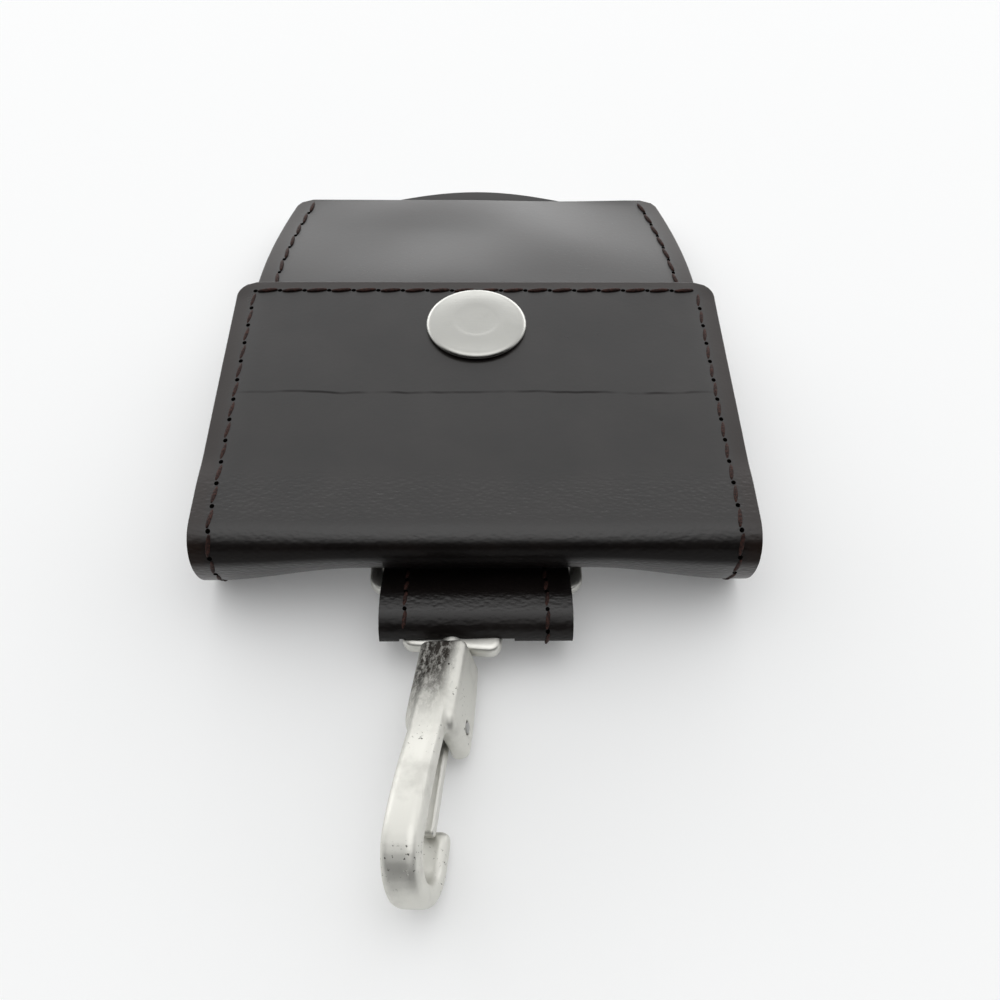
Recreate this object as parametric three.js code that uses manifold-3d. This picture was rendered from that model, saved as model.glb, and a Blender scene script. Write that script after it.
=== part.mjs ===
// A small leather pouch with a snap flap, lying on its back, and the swivel snap hook that hangs from it.
//
// Millimetres, +Z up. X runs across the pouch, +Y from the folded mouth to the bottom edge. The pieces are
// laid out with Y = 0 on the line where the flap starts to fold, and the whole is centred at the end.
// The flap folds over the mouth at -Y. A metal ring in a leather keeper lies under the back panel, and a
// leather loop links that ring to the swivel eye of the snap hook, which stands on its edge.

import * as THREE from 'three';
import { mergeVertices } from 'three/addons/utils/BufferGeometryUtils.js';
import Module from 'manifold-3d';

// Leather, and the room left between pieces
const LEATHER = 1.6;
const LINING = 1.1;
const LAYER_GAP = 0.15;
const CLEARANCE = 0.3;

// Pouch body
const POUCH_WIDTH = 74;
const BOTTOM_WIDTH = 65;
const TAPER_START = 45;
const POUCH_LENGTH = 78.3;
const POUCH_HEIGHT = 16;
const BOTTOM_CORNER = 4;
const BOTTOM_ARCH = 6;
const BOTTOM_CURL = 1.2;
const MOUTH_SETBACK = 4;
const POCKET_FLATNESS = 4;
const SLIT = 0.9;

// Flap
const FLAP_REACH = 41.5;
const FLAP_CORNER = 3;
const FOLD_LAP = 3;
const FOLD_DEPTH = 6.9;
const FOLD_LEAN = 5.4;
const FOLD_SHARE = 0.8;
const LINING_INSET = 0.5;

// Snap fastener
const SNAP_TO_EDGE = 10.2;
const CAP_DIAMETER = 15;
const CAP_HEIGHT = 1.5;
const CAP_RIM = 0.5;
const SHANK_DIAMETER = 3.6;
const SOCKET_DIAMETER = 11;
const SOCKET_HEIGHT = 1.9;
const SOCKET_PLATE = 0.6;
const STUD_DIAMETER = 4.4;
const STUD_NECK = 3.6;
const STUD_FLANGE = 0.7;

// Ring and keeper
const RING_WIRE = 1.8;
const RING_LENGTH = 14.9;
const RING_CORNER = 2.6;
const RING_SETBACK = 7;
const RING_SLOPE = THREE.MathUtils.degToRad(4.2);
const KEEPER_LEATHER = 1.1;
const KEEPER_WIDTH = 21;
const KEEPER_HALF_LENGTH = 8.5;
const HOLLOW_MARGIN = 0.6;
const HOLLOW_FADE = 20;
const HOLLOW_RUNOUT = 13;

// Leather loop between ring and hook
const TAB_WIDTH = 25;
const TAB_RADIUS = 3.15;
const TAB_LEATHER = 1.65;
const TAB_SPAN = 6;
const TAB_TILT = THREE.MathUtils.degToRad(25);

// Swivel eye
const EYE_WIDTH = 13;
const EYE_SPAN = 6;
const EYE_WIRE = 2.2;
const EYE_FOOT = 3.4;
const EYE_OFFSET = -2.4;
const EYE_SETBACK = 1.3;
const EYE_YAW = THREE.MathUtils.degToRad(-7.5);
const EYE_TILT = THREE.MathUtils.degToRad(1.5);
const SWIVEL_STEM = 1.8;
const SWIVEL_HEAD = 3.2;
const SWIVEL_HEAD_HEIGHT = 0.8;

// Snap hook, measured along its length from the swivel and across from the swivel axis
const HOOK_LENGTH = 32.8;
const HOOK_ROLL = THREE.MathUtils.degToRad(-11);
const HOOK_THICKNESS = 4.4;
const BEND_RADIUS = 6.4;
const BEND_DROP = 1;
const SPINE_THICKNESS = 3.4;
const NOSE_THICKNESS = 2.5;
const NOSE_REACH = 4.2;
const SHROUD_LENGTH = 13;
const SHROUD_THICKNESS = 6.4;
const SHROUD_SPINE = 4.2;
const SHROUD_LIP = 4.9;
const SHROUD_CORNER = 2;
const NECK_HALF = 3.4;
const HOOK_BEVEL = 0.9;

// Gate of the snap hook
const GATE_THICKNESS = 2;
const GATE_DEPTH = 1.5;
const GATE_LAP = 1.6;
const GATE_PIVOT = 9.6;
const GATE_EYE = 1.7;
const GATE_PIN = 1.5;
const SPRING_LEAF = 0.4;

// Facets
const ROUND = 32;
const ACROSS = 18;
const ALONG = 14;
const BEND_STEPS = 5;

// Derived levels
const HOLLOW = LAYER_GAP + KEEPER_LEATHER + RING_WIRE + 2 * CLEARANCE + RING_SETBACK * Math.tan(RING_SLOPE);
const HOLLOW_HALF = TAB_WIDTH / 2 + RING_WIRE + CLEARANCE + HOLLOW_MARGIN;
const HOLLOW_END = RING_SETBACK + KEEPER_HALF_LENGTH + HOLLOW_MARGIN;
const BACK_TOP = LEATHER + LAYER_GAP + LINING;
const SEAM_TOP = BACK_TOP + LAYER_GAP + LEATHER;
const FLAP_UNDER = POUCH_HEIGHT - BACK_TOP;
const SNAP_Y = FLAP_REACH - SNAP_TO_EDGE;
const STUD_SEAT = FLAP_UNDER - LAYER_GAP - SOCKET_HEIGHT - CLEARANCE - STUD_FLANGE - CLEARANCE;
const POCKET_MOUTH = FLAP_UNDER - 2 * CLEARANCE;

const wasm = await Module();
wasm.setup();

const { lerp, smoothstep } = THREE.MathUtils;

// Turns a closed geometry into a solid that can be joined and cut.
function toSolid(geometry) {
  const bare = geometry.clone();
  bare.deleteAttribute('normal');
  bare.deleteAttribute('uv');
  const merged = mergeVertices(bare, 1e-4);
  return new wasm.Manifold(new wasm.Mesh({
    numProp: 3,
    vertProperties: new Float32Array(merged.attributes.position.array),
    triVerts: new Uint32Array(merged.index.array),
  }));
}

// Turns a solid back into a geometry.
function toGeometry(solid) {
  const mesh = solid.getMesh();
  const geometry = new THREE.BufferGeometry();
  geometry.setAttribute('position', new THREE.BufferAttribute(new Float32Array(mesh.vertProperties), 3));
  geometry.setIndex(new THREE.BufferAttribute(new Uint32Array(mesh.triVerts), 1));
  geometry.computeVertexNormals();
  return geometry;
}

// Cuts each tool out of a geometry.
function cut(geometry, ...tools) {
  return toGeometry(tools.reduce((solid, tool) => solid.subtract(toSolid(tool)), toSolid(geometry)));
}

// Joins geometries that overlap into one body.
function join(first, ...others) {
  return toGeometry(others.reduce((solid, other) => solid.add(toSolid(other)), toSolid(first)));
}

// A closed sheet between an upper and a lower surface, each a function of u across and v along, from 0 to 1.
function sheet(upper, lower, across, along) {
  const points = [];
  const row = across + 1;
  const layer = row * (along + 1);
  for (const surface of [upper, lower]) {
    for (let j = 0; j <= along; j++) {
      for (let i = 0; i <= across; i++) points.push(...surface(i / across, j / along).toArray());
    }
  }
  const faces = [];
  const quad = (a, b, c, d) => faces.push(a, b, c, a, c, d);
  for (let j = 0; j < along; j++) {
    for (let i = 0; i < across; i++) {
      const a = j * row + i;
      quad(a, a + 1, a + row + 1, a + row);
      quad(layer + a, layer + a + row, layer + a + row + 1, layer + a + 1);
    }
    const left = j * row;
    const right = left + across;
    quad(left, left + row, layer + left + row, layer + left);
    quad(right, layer + right, layer + right + row, right + row);
  }
  for (let i = 0; i < across; i++) {
    const far = along * row + i;
    quad(i, layer + i, layer + i + 1, i + 1);
    quad(far, far + 1, layer + far + 1, layer + far);
  }
  const geometry = new THREE.BufferGeometry();
  geometry.setAttribute('position', new THREE.Float32BufferAttribute(points, 3));
  geometry.setIndex(faces);
  geometry.computeVertexNormals();
  return geometry;
}

// A turned piece about +Z, from a profile of [radius, height] pairs that closes on the axis or on itself.
function turned(profile) {
  const points = profile.map(([r, z]) => new THREE.Vector2(r, z));
  return new THREE.LatheGeometry(points, ROUND).rotateX(Math.PI / 2);
}

// A plain cylinder about +Z between two heights.
function rod(radius, bottom, top, sides = ROUND) {
  return new THREE.CylinderGeometry(radius, radius, top - bottom, sides)
    .rotateX(Math.PI / 2).translate(0, 0, (top + bottom) / 2);
}

// A rectangle with round corners, as a shape or as a hole.
function roundedRectangle(Kind, x0, y0, x1, y1, radius) {
  const path = new Kind();
  path.moveTo(x0 + radius, y0).lineTo(x1 - radius, y0);
  path.absarc(x1 - radius, y0 + radius, radius, -Math.PI / 2, 0);
  path.lineTo(x1, y1 - radius).absarc(x1 - radius, y1 - radius, radius, 0, Math.PI / 2);
  path.lineTo(x0 + radius, y1).absarc(x0 + radius, y1 - radius, radius, Math.PI / 2, Math.PI);
  path.lineTo(x0, y0 + radius).absarc(x0 + radius, y0 + radius, radius, Math.PI, Math.PI * 1.5);
  return path;
}

// Extrudes a shape evenly about its own plane, with its edges eased by the bevel.
function plate(shape, thickness, bevel, curveSegments = BEND_STEPS) {
  return new THREE.ExtrudeGeometry(shape, {
    depth: thickness - 2 * bevel,
    bevelEnabled: bevel > 0,
    bevelThickness: bevel,
    bevelSize: bevel,
    bevelOffset: -bevel,
    bevelSegments: 2,
    curveSegments,
  }).translate(0, 0, -(thickness - 2 * bevel) / 2);
}

// Stands a side profile up: its first axis runs towards -Y, its second up, and its thickness lies along X.
function sideOn(geometry) {
  const basis = new THREE.Matrix4().makeBasis(
    new THREE.Vector3(0, -1, 0), new THREE.Vector3(0, 0, 1), new THREE.Vector3(-1, 0, 0));
  return geometry.applyMatrix4(basis);
}

// Round corner of an edge: how far the side stands in at a distance before the end.
function cornerInset(distance, radius) {
  const into = Math.max(0, radius - distance);
  return radius - Math.sqrt(Math.max(0, radius * radius - into * into));
}

// Spreads rows so that they crowd towards the far end, where the corners are.
const crowd = (v) => Math.sin(v * Math.PI / 2);

// Half the pouch's width at a distance from the fold line: full past the flap, then rounding in to the bottom.
function halfWidth(y, length) {
  const taper = Math.pow(Math.max(0, y - TAPER_START) / (POUCH_LENGTH - TAPER_START), 2);
  const side = lerp(POUCH_WIDTH, BOTTOM_WIDTH, taper) / 2;
  return side - cornerInset(length - y, BOTTOM_CORNER);
}

// How far the back panel stands off the surface, over the ring and its keeper.
function hollow(x, y) {
  const across = 1 - smoothstep(Math.abs(x), HOLLOW_HALF, HOLLOW_HALF + HOLLOW_FADE);
  const along = 1 - smoothstep(y, HOLLOW_END, HOLLOW_END + HOLLOW_RUNOUT);
  return HOLLOW * across * along;
}

// One layer of the back, between two heights above its outer face, with the bottom edge arched by some rise.
// The arch curls up a little where it stands out from under the pocket.
function backLayer(low, high, length, inset, rise) {
  const surface = (level) => (u, v) => {
    const flat = crowd(v) * length;
    const half = halfWidth(flat, length) - inset;
    const across = 2 * u - 1;
    const y = flat + rise * Math.pow(1 - across * across, 2) * Math.pow(v, 3);
    const x = across * half;
    const curl = BOTTOM_CURL * Math.pow(Math.max(0, y - length) / BOTTOM_ARCH, 2);
    return new THREE.Vector3(x, y, hollow(x, y) + curl + level);
  };
  return sheet(surface(high), surface(low), ACROSS, ALONG);
}

// Height of the pocket's front along its middle, dipping where the snap draws it in.
const pocketRidge = new THREE.SplineCurve([
  new THREE.Vector2(MOUTH_SETBACK, POCKET_MOUTH),
  new THREE.Vector2(SNAP_Y - SOCKET_DIAMETER, lerp(POCKET_MOUTH, STUD_SEAT, 0.8)),
  new THREE.Vector2(SNAP_Y, STUD_SEAT),
  new THREE.Vector2(SNAP_Y + SOCKET_DIAMETER, lerp(SEAM_TOP, STUD_SEAT, 0.92)),
  new THREE.Vector2(lerp(SNAP_Y, POUCH_LENGTH, 0.7), lerp(SEAM_TOP, STUD_SEAT, 0.45)),
  new THREE.Vector2(POUCH_LENGTH, SEAM_TOP + SLIT),
]);

// The pocket's front: sewn flat along both sides, crowned between them.
function pocketFront() {
  const surface = (drop) => (u, v) => {
    const { x: y, y: ridge } = pocketRidge.getPoint(v);
    const across = 2 * u - 1;
    const crown = 1 - Math.pow(Math.abs(across), POCKET_FLATNESS);
    return new THREE.Vector3(across * halfWidth(y, POUCH_LENGTH), y, lerp(SEAM_TOP, ridge, crown) - drop);
  };
  return sheet(surface(0), surface(LEATHER), ACROSS, ALONG);
}

// One layer of the fold, from the back panel round the mouth and a little way on to the flap. Its upper part
// leans forward, where the flap's stiff leather runs on before it turns down.
function foldLayer(low, high, inset) {
  const surface = (depth) => (u, v) => {
    const x = (2 * u - 1) * (POUCH_WIDTH / 2 - inset);
    const stand = hollow(x, 0);
    const middle = (POUCH_HEIGHT + stand) / 2;
    const angle = Math.PI * Math.min(1, v / FOLD_SHARE);
    const lean = FOLD_LEAN * Math.pow((1 - Math.cos(angle)) / 2, 1.5);
    const lap = (FOLD_LAP + FOLD_LEAN - LAYER_GAP) * Math.max(0, v - FOLD_SHARE) / (1 - FOLD_SHARE);
    const y = lap - lean - LAYER_GAP - (FOLD_DEPTH - depth) * Math.sin(angle);
    return new THREE.Vector3(x, y, middle - ((POUCH_HEIGHT - stand) / 2 - depth) * Math.cos(angle));
  };
  return sheet(surface(high), surface(low), ACROSS, ALONG);
}

// One flat layer of the flap, with round corners at its free edge and a hole for the snap's shank.
function flapLayer(low, high, inset) {
  const near = FOLD_LAP;
  const far = FLAP_REACH - inset;
  const surface = (level) => (u, v) => {
    const y = lerp(near, far, crowd(v));
    const half = POUCH_WIDTH / 2 - inset - cornerInset(far - y, FLAP_CORNER);
    return new THREE.Vector3((2 * u - 1) * half, y, level);
  };
  const hole = rod(SHANK_DIAMETER / 2 + CLEARANCE, low - LEATHER, high + LEATHER).translate(0, SNAP_Y, 0);
  return cut(sheet(surface(high), surface(low), 4, 12), hole);
}

// The snap's cap: a low dome with a rolled rim, and the shank that goes through the flap.
function snapCap() {
  const radius = CAP_DIAMETER / 2;
  const shank = SHANK_DIAMETER / 2;
  const down = BACK_TOP + LAYER_GAP + SOCKET_PLATE;
  return turned([
    [0, -down], [shank, -down], [shank, LAYER_GAP], [radius - CAP_RIM / 2, LAYER_GAP], [radius, CAP_RIM],
    [radius - CAP_RIM, CAP_RIM * 2], [radius * 0.8, CAP_HEIGHT * 0.86], [radius * 0.4, CAP_HEIGHT * 0.97],
    [0, CAP_HEIGHT],
  ]);
}

// The snap's socket under the flap: a ring with a plate that the shank is set through.
function snapSocket() {
  const radius = SOCKET_DIAMETER / 2;
  const bore = SHANK_DIAMETER / 2 + CLEARANCE;
  const mouth = STUD_DIAMETER / 2 + 2 * CLEARANCE;
  const plateUnder = -SOCKET_PLATE;
  return turned([
    [bore, 0], [bore, plateUnder], [mouth, plateUnder], [mouth, -SOCKET_HEIGHT],
    [radius * 0.72, -SOCKET_HEIGHT], [radius * 0.8, -SOCKET_HEIGHT / 2], [radius, plateUnder], [radius, 0],
    [bore, 0],
  ]);
}

// The snap's stud on the pocket: flange, neck and bulb, with a post down through the leather.
function snapStud() {
  const flange = SOCKET_DIAMETER / 2;
  const neck = STUD_NECK / 2;
  const top = STUD_FLANGE + SOCKET_HEIGHT - SOCKET_PLATE - CLEARANCE;
  const post = SHANK_DIAMETER / 2;
  const down = LEATHER + CLEARANCE + STUD_FLANGE;
  return turned([
    [0, -down], [post, -down], [post, 0], [flange, 0], [flange, STUD_FLANGE / 2], [flange * 0.8, STUD_FLANGE],
    [neck, STUD_FLANGE], [neck, top * 0.65], [STUD_DIAMETER / 2, top * 0.82], [neck, top], [0, top],
  ]);
}

// The rivet washer that holds the stud's post inside the pocket.
function studRivet() {
  const bore = SHANK_DIAMETER / 2 + CLEARANCE;
  const radius = SOCKET_DIAMETER / 2;
  return turned([[bore, 0], [bore, -STUD_FLANGE], [radius, -STUD_FLANGE * 0.6], [radius, 0], [bore, 0]]);
}

// The keeper: a strip sewn to the back at both ends, with a tunnel for the ring's bar in its middle.
function ringKeeper() {
  const dip = RING_WIRE + CLEARANCE;
  const surface = (drop) => (u, v) => {
    const run = 2 * v - 1;
    const tunnel = 1 - smoothstep(Math.abs(run), 0.3, 0.75);
    const x = (u - 0.5) * KEEPER_WIDTH;
    const y = RING_SETBACK + run * KEEPER_HALF_LENGTH;
    const top = lerp(HOLLOW - LAYER_GAP, LAYER_GAP + KEEPER_LEATHER, tunnel);
    return new THREE.Vector3(x, y, Math.min(top, foldUnder(y) - LAYER_GAP) - drop);
  };
  return sheet(surface(0), surface(KEEPER_LEATHER), 4, ALONG);
}

// Height of the back's outer face over the hollow, level past the fold line and rising round the fold.
function foldUnder(y) {
  const into = Math.min(0, y) / FOLD_DEPTH;
  return HOLLOW + (POUCH_HEIGHT - HOLLOW) / 2 * (1 - Math.sqrt(1 - into * into));
}

// The metal ring, flat, with its far bar on X and its near bar towards -Y.
function strapRing() {
  const half = TAB_WIDTH / 2 + CLEARANCE + RING_WIRE;
  const outer = RING_WIRE / 2;
  const shape = roundedRectangle(THREE.Shape, -half, -RING_LENGTH - outer, half, outer, RING_CORNER);
  const inner = roundedRectangle(THREE.Path, -half + RING_WIRE, -RING_LENGTH + outer,
    half - RING_WIRE, -outer, RING_CORNER - RING_WIRE / 2);
  shape.holes.push(inner);
  return plate(shape, RING_WIRE, RING_WIRE * 0.28);
}

// A stadium along the first axis, as a shape or as a hole.
function stadium(Kind, span, radius) {
  const path = new Kind();
  path.moveTo(0, -radius).lineTo(span, -radius).absarc(span, 0, radius, -Math.PI / 2, Math.PI / 2);
  path.lineTo(0, radius).absarc(0, 0, radius, Math.PI / 2, Math.PI * 1.5);
  return path;
}

// The leather loop round the ring's near bar and the eye's bar, open below where the eye comes out.
function tabLoop() {
  const shape = stadium(THREE.Shape, TAB_SPAN, TAB_RADIUS);
  shape.holes.push(stadium(THREE.Path, TAB_SPAN, TAB_RADIUS - TAB_LEATHER));
  const loop = sideOn(plate(shape, TAB_WIDTH, TAB_LEATHER * 0.2, 8));
  const width = EYE_WIDTH + 2 * Math.abs(EYE_SPAN * Math.tan(EYE_YAW)) + 2 * CLEARANCE;
  const reach = TAB_SPAN + 2 * TAB_RADIUS;
  const window = new THREE.BoxGeometry(width, reach, TAB_RADIUS * 2)
    .translate(EYE_OFFSET, -TAB_SPAN * 0.4 - reach / 2, -TAB_RADIUS);
  return cut(loop, window);
}

// The swivel eye: a frame with its bar on X, and a stout foot at -Y drilled for the swivel.
function swivelEye() {
  const half = EYE_WIDTH / 2;
  const bar = EYE_WIRE / 2;
  const foot = EYE_FOOT / 2;
  const shape = roundedRectangle(THREE.Shape, -half, -EYE_SPAN - foot, half, bar, EYE_WIRE * 0.7);
  shape.holes.push(roundedRectangle(THREE.Path, -half + EYE_WIRE, -EYE_SPAN + foot,
    half - EYE_WIRE, -bar, EYE_WIRE / 4));
  const bore = rod(SWIVEL_STEM / 2 + CLEARANCE, -EYE_SPAN, EYE_SPAN, 16)
    .rotateX(Math.PI / 2).translate(0, -EYE_SPAN, 0);
  const frame = plate(shape, EYE_WIRE, EYE_WIRE * 0.3);
  const boss = rod(EYE_FOOT / 2, -foot, foot, 24).rotateX(Math.PI / 2).translate(0, -EYE_SPAN, 0);
  return cut(join(frame, boss), bore);
}

// The swivel pin: a head inside the eye and a stem through its foot into the hook.
function swivelPin() {
  const stem = SWIVEL_STEM / 2;
  const head = SWIVEL_HEAD / 2;
  const under = EYE_FOOT / 2 + CLEARANCE / 2;
  const end = -EYE_FOOT - CLEARANCE;
  return turned([
    [0, end], [stem, end], [stem, under], [head, under], [head, under + SWIVEL_HEAD_HEIGHT * 0.6],
    [head * 0.7, under + SWIVEL_HEAD_HEIGHT], [0, under + SWIVEL_HEAD_HEIGHT],
  ]).rotateX(-Math.PI / 2);
}

// Places along and across the hook that its outline, gate and pin share.
const bendAlong = HOOK_LENGTH - BEND_RADIUS;
const spineOuter = BEND_DROP + BEND_RADIUS;
const spineInner = spineOuter - SPINE_THICKNESS;
const noseOuter = BEND_DROP - BEND_RADIUS;
const noseInner = noseOuter + NOSE_THICKNESS;
const noseEnd = bendAlong - NOSE_REACH;
const gateFace = noseInner + CLEARANCE;
const gateAxis = gateFace + GATE_DEPTH / 2;

// The hook's outline from the side: neck, spine, bend and nose, with the opening on the nose side.
function hookOutline() {
  const innerRadius = (spineInner - noseInner) / 2;
  const innerAxis = (spineInner + noseInner) / 2;
  const shape = new THREE.Shape();
  shape.moveTo(0, NECK_HALF).lineTo(SHROUD_LENGTH, SHROUD_SPINE + 1);
  shape.quadraticCurveTo(lerp(SHROUD_LENGTH, bendAlong, 0.6), spineOuter, bendAlong, spineOuter);
  shape.absarc(bendAlong, BEND_DROP, BEND_RADIUS, Math.PI / 2, -Math.PI / 2, true);
  shape.lineTo(noseEnd + NOSE_THICKNESS / 2, noseOuter);
  shape.absarc(noseEnd + NOSE_THICKNESS / 2, (noseOuter + noseInner) / 2, NOSE_THICKNESS / 2,
    -Math.PI / 2, Math.PI / 2, true);
  shape.lineTo(bendAlong, noseInner);
  shape.absarc(bendAlong, innerAxis, innerRadius, -Math.PI / 2, Math.PI / 2, false);
  shape.quadraticCurveTo(lerp(SHROUD_LENGTH, bendAlong, 0.5), spineInner,
    SHROUD_LENGTH, SHROUD_SPINE - SPINE_THICKNESS / 2);
  shape.lineTo(SHROUD_LENGTH - 1, 0).lineTo(0, -NECK_HALF);
  return shape;
}

// The shroud's outline: the thick part that houses the gate's pivot.
function shroudOutline() {
  const shape = new THREE.Shape();
  shape.moveTo(0, NECK_HALF).lineTo(SHROUD_LENGTH * 0.8, SHROUD_SPINE);
  shape.quadraticCurveTo(SHROUD_LENGTH, SHROUD_SPINE, SHROUD_LENGTH, SHROUD_SPINE - SPINE_THICKNESS);
  shape.lineTo(SHROUD_LENGTH, -SHROUD_LIP + SHROUD_CORNER);
  shape.quadraticCurveTo(SHROUD_LENGTH, -SHROUD_LIP, SHROUD_LENGTH - SHROUD_CORNER, -SHROUD_LIP);
  shape.quadraticCurveTo(SHROUD_LENGTH * 0.4, -SHROUD_LIP, 0, -NECK_HALF);
  return shape;
}

// The hook's body: bend and spine, with the shroud joined on, slotted for the gate and drilled for its pins.
function hookBody() {
  const bend = sideOn(plate(hookOutline(), HOOK_THICKNESS, HOOK_BEVEL, 10));
  const shroud = sideOn(plate(shroudOutline(), SHROUD_THICKNESS, HOOK_BEVEL));
  const slotLength = SHROUD_LENGTH - GATE_PIVOT + GATE_EYE + 2 * CLEARANCE;
  const slotHeight = SHROUD_LIP + gateAxis + GATE_EYE + SPRING_LEAF + 3 * CLEARANCE;
  const slotStart = -GATE_PIVOT + GATE_EYE + 2 * CLEARANCE;
  const slot = new THREE.BoxGeometry(GATE_THICKNESS + 2 * CLEARANCE, slotLength + 1, slotHeight + 1)
    .translate(0, slotStart - (slotLength + 1) / 2, -SHROUD_LIP - 1 + (slotHeight + 1) / 2);
  const pinBore = rod(GATE_PIN / 2 + CLEARANCE / 2, -SHROUD_THICKNESS, SHROUD_THICKNESS, 16)
    .rotateY(Math.PI / 2).translate(0, -GATE_PIVOT, gateAxis);
  const stemBore = rod(SWIVEL_STEM / 2 + CLEARANCE / 2, -EYE_FOOT, EYE_FOOT, 16).rotateX(Math.PI / 2);
  return cut(join(bend, shroud), slot, pinBore, stemBore);
}

// The gate: a flat lever from its pivot to the inside of the nose.
function gateLever() {
  const reach = noseEnd + GATE_LAP;
  const half = GATE_DEPTH / 2;
  const shape = new THREE.Shape();
  shape.moveTo(GATE_PIVOT, gateAxis - half).lineTo(reach - half, gateAxis - half);
  shape.absarc(reach - half, gateAxis, half, -Math.PI / 2, Math.PI / 2);
  shape.lineTo(GATE_PIVOT, gateAxis + half);
  const lever = sideOn(plate(shape, GATE_THICKNESS, GATE_THICKNESS * 0.15));
  const eye = rod(GATE_EYE, -GATE_THICKNESS / 2, GATE_THICKNESS / 2, 20)
    .rotateY(Math.PI / 2).translate(0, -GATE_PIVOT, gateAxis);
  const bore = rod(GATE_PIN / 2 + CLEARANCE / 2, -GATE_THICKNESS, GATE_THICKNESS, 16)
    .rotateY(Math.PI / 2).translate(0, -GATE_PIVOT, gateAxis);
  return cut(join(lever, eye), bore);
}

// The gate's pin through both cheeks of the shroud.
function gatePin() {
  return rod(GATE_PIN / 2, -SHROUD_THICKNESS / 2, SHROUD_THICKNESS / 2, 16)
    .rotateY(Math.PI / 2).translate(0, -GATE_PIVOT, gateAxis);
}

// The leaf spring behind the gate, lying along the floor of its slot.
function gateSpring() {
  const length = SHROUD_LENGTH - GATE_PIVOT;
  const floor = gateAxis + GATE_EYE + SPRING_LEAF / 2 + CLEARANCE;
  return new THREE.BoxGeometry(GATE_THICKNESS, length, SPRING_LEAF)
    .translate(0, -GATE_PIVOT - length / 2 + GATE_EYE, floor);
}

const blackBrown = { color: 0x2a211e, roughness: 0.38, metalness: 0 };
const rawBrown = { color: 0x3a2a22, roughness: 0.8, metalness: 0 };
const agedNickel = { color: 0xb8b6ae, roughness: 0.35, metalness: 1 };
const springSteel = { color: 0x8c8c8a, roughness: 0.4, metalness: 1 };

// Adds one named piece to a group.
function add(group, name, geometry, finish) {
  const mesh = new THREE.Mesh(geometry, new THREE.MeshStandardMaterial(finish));
  mesh.name = name;
  group.add(mesh);
  return mesh;
}

// Adds an empty group at a place in its parent.
function place(parent, x, y, z) {
  const group = new THREE.Group();
  group.position.set(x, y, z);
  parent.add(group);
  return group;
}

const pouch = new THREE.Group();
const body = place(pouch, 0, 0, 0);

add(body, 'back_panel', backLayer(0, LEATHER, POUCH_LENGTH, 0, BOTTOM_ARCH), blackBrown);
add(body, 'back_lining', backLayer(LEATHER + LAYER_GAP, BACK_TOP, POUCH_LENGTH, LINING_INSET, 0), rawBrown);
const studHole = rod(SHANK_DIAMETER / 2 + CLEARANCE, STUD_SEAT - 2 * LEATHER, STUD_SEAT + LEATHER)
  .translate(0, SNAP_Y, 0);
add(body, 'pocket_front', cut(pocketFront(), studHole), blackBrown);
add(body, 'fold_outer', foldLayer(LEATHER, 0, 0), blackBrown);
add(body, 'fold_lining', foldLayer(BACK_TOP, LEATHER + LAYER_GAP, LINING_INSET), rawBrown);
add(body, 'ring_keeper', ringKeeper(), blackBrown);
add(body, 'snap_stud', snapStud().translate(0, SNAP_Y, STUD_SEAT + CLEARANCE), agedNickel);
add(body, 'stud_rivet', studRivet().translate(0, SNAP_Y, STUD_SEAT - LEATHER - CLEARANCE), agedNickel);

add(body, 'flap_outer', flapLayer(POUCH_HEIGHT - LEATHER, POUCH_HEIGHT, 0), blackBrown);
add(body, 'flap_lining', flapLayer(FLAP_UNDER, FLAP_UNDER + LINING, LINING_INSET), rawBrown);
add(body, 'snap_cap', snapCap().translate(0, SNAP_Y, POUCH_HEIGHT), agedNickel);
add(body, 'snap_socket', snapSocket().translate(0, SNAP_Y, FLAP_UNDER - LAYER_GAP), agedNickel);

const ring = place(pouch, 0, RING_SETBACK, LAYER_GAP + KEEPER_LEATHER + CLEARANCE + RING_WIRE / 2);
ring.rotation.x = -RING_SLOPE;
add(ring, 'strap_ring', strapRing(), agedNickel);

const tab = place(ring, 0, -RING_LENGTH, 0);
tab.rotation.x = RING_SLOPE - TAB_TILT;
add(tab, 'tab_loop', tabLoop(), blackBrown);

const eye = place(tab, EYE_OFFSET, EYE_WIDTH / 2 * Math.tan(Math.abs(EYE_YAW)) + EYE_SETBACK - TAB_SPAN, 0);
eye.rotation.set(TAB_TILT - EYE_TILT, 0, EYE_YAW, 'ZXY');
add(eye, 'swivel_eye', swivelEye(), agedNickel);

const hook = place(eye, 0, -EYE_SPAN - EYE_FOOT / 2 - CLEARANCE, 0);
hook.rotation.y = HOOK_ROLL;
add(hook, 'swivel_pin', swivelPin().translate(0, EYE_FOOT / 2 + CLEARANCE, 0), agedNickel);
add(hook, 'hook_body', hookBody(), agedNickel);
add(hook, 'gate', gateLever(), agedNickel);
add(hook, 'gate_pin', gatePin(), springSteel);
add(hook, 'gate_spring', gateSpring(), springSteel);

// The origin goes to the middle of the pouch's footprint, on the surface that it lies on.
const bounds = new THREE.Box3().setFromObject(pouch, true);
pouch.position.set(0, -(bounds.min.y + bounds.max.y) / 2, -bounds.min.z);

export default pouch;
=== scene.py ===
"""A dark leather pouch with a snap flap and a swivel snap hook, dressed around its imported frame.

Sizes are in millimetres and are laid out as in the part's source: X runs across the pouch, +Y from the fold
to the bottom edge, +Z up, with Y = 0 on the line where the flap starts to fold. Meshes are written in
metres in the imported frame.
"""

from __future__ import annotations

import logging
import math
from dataclasses import dataclass
from enum import Enum
from typing import Any, Callable, Sequence

import bmesh
import bpy
from mathutils import Matrix, Vector, noise

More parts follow.
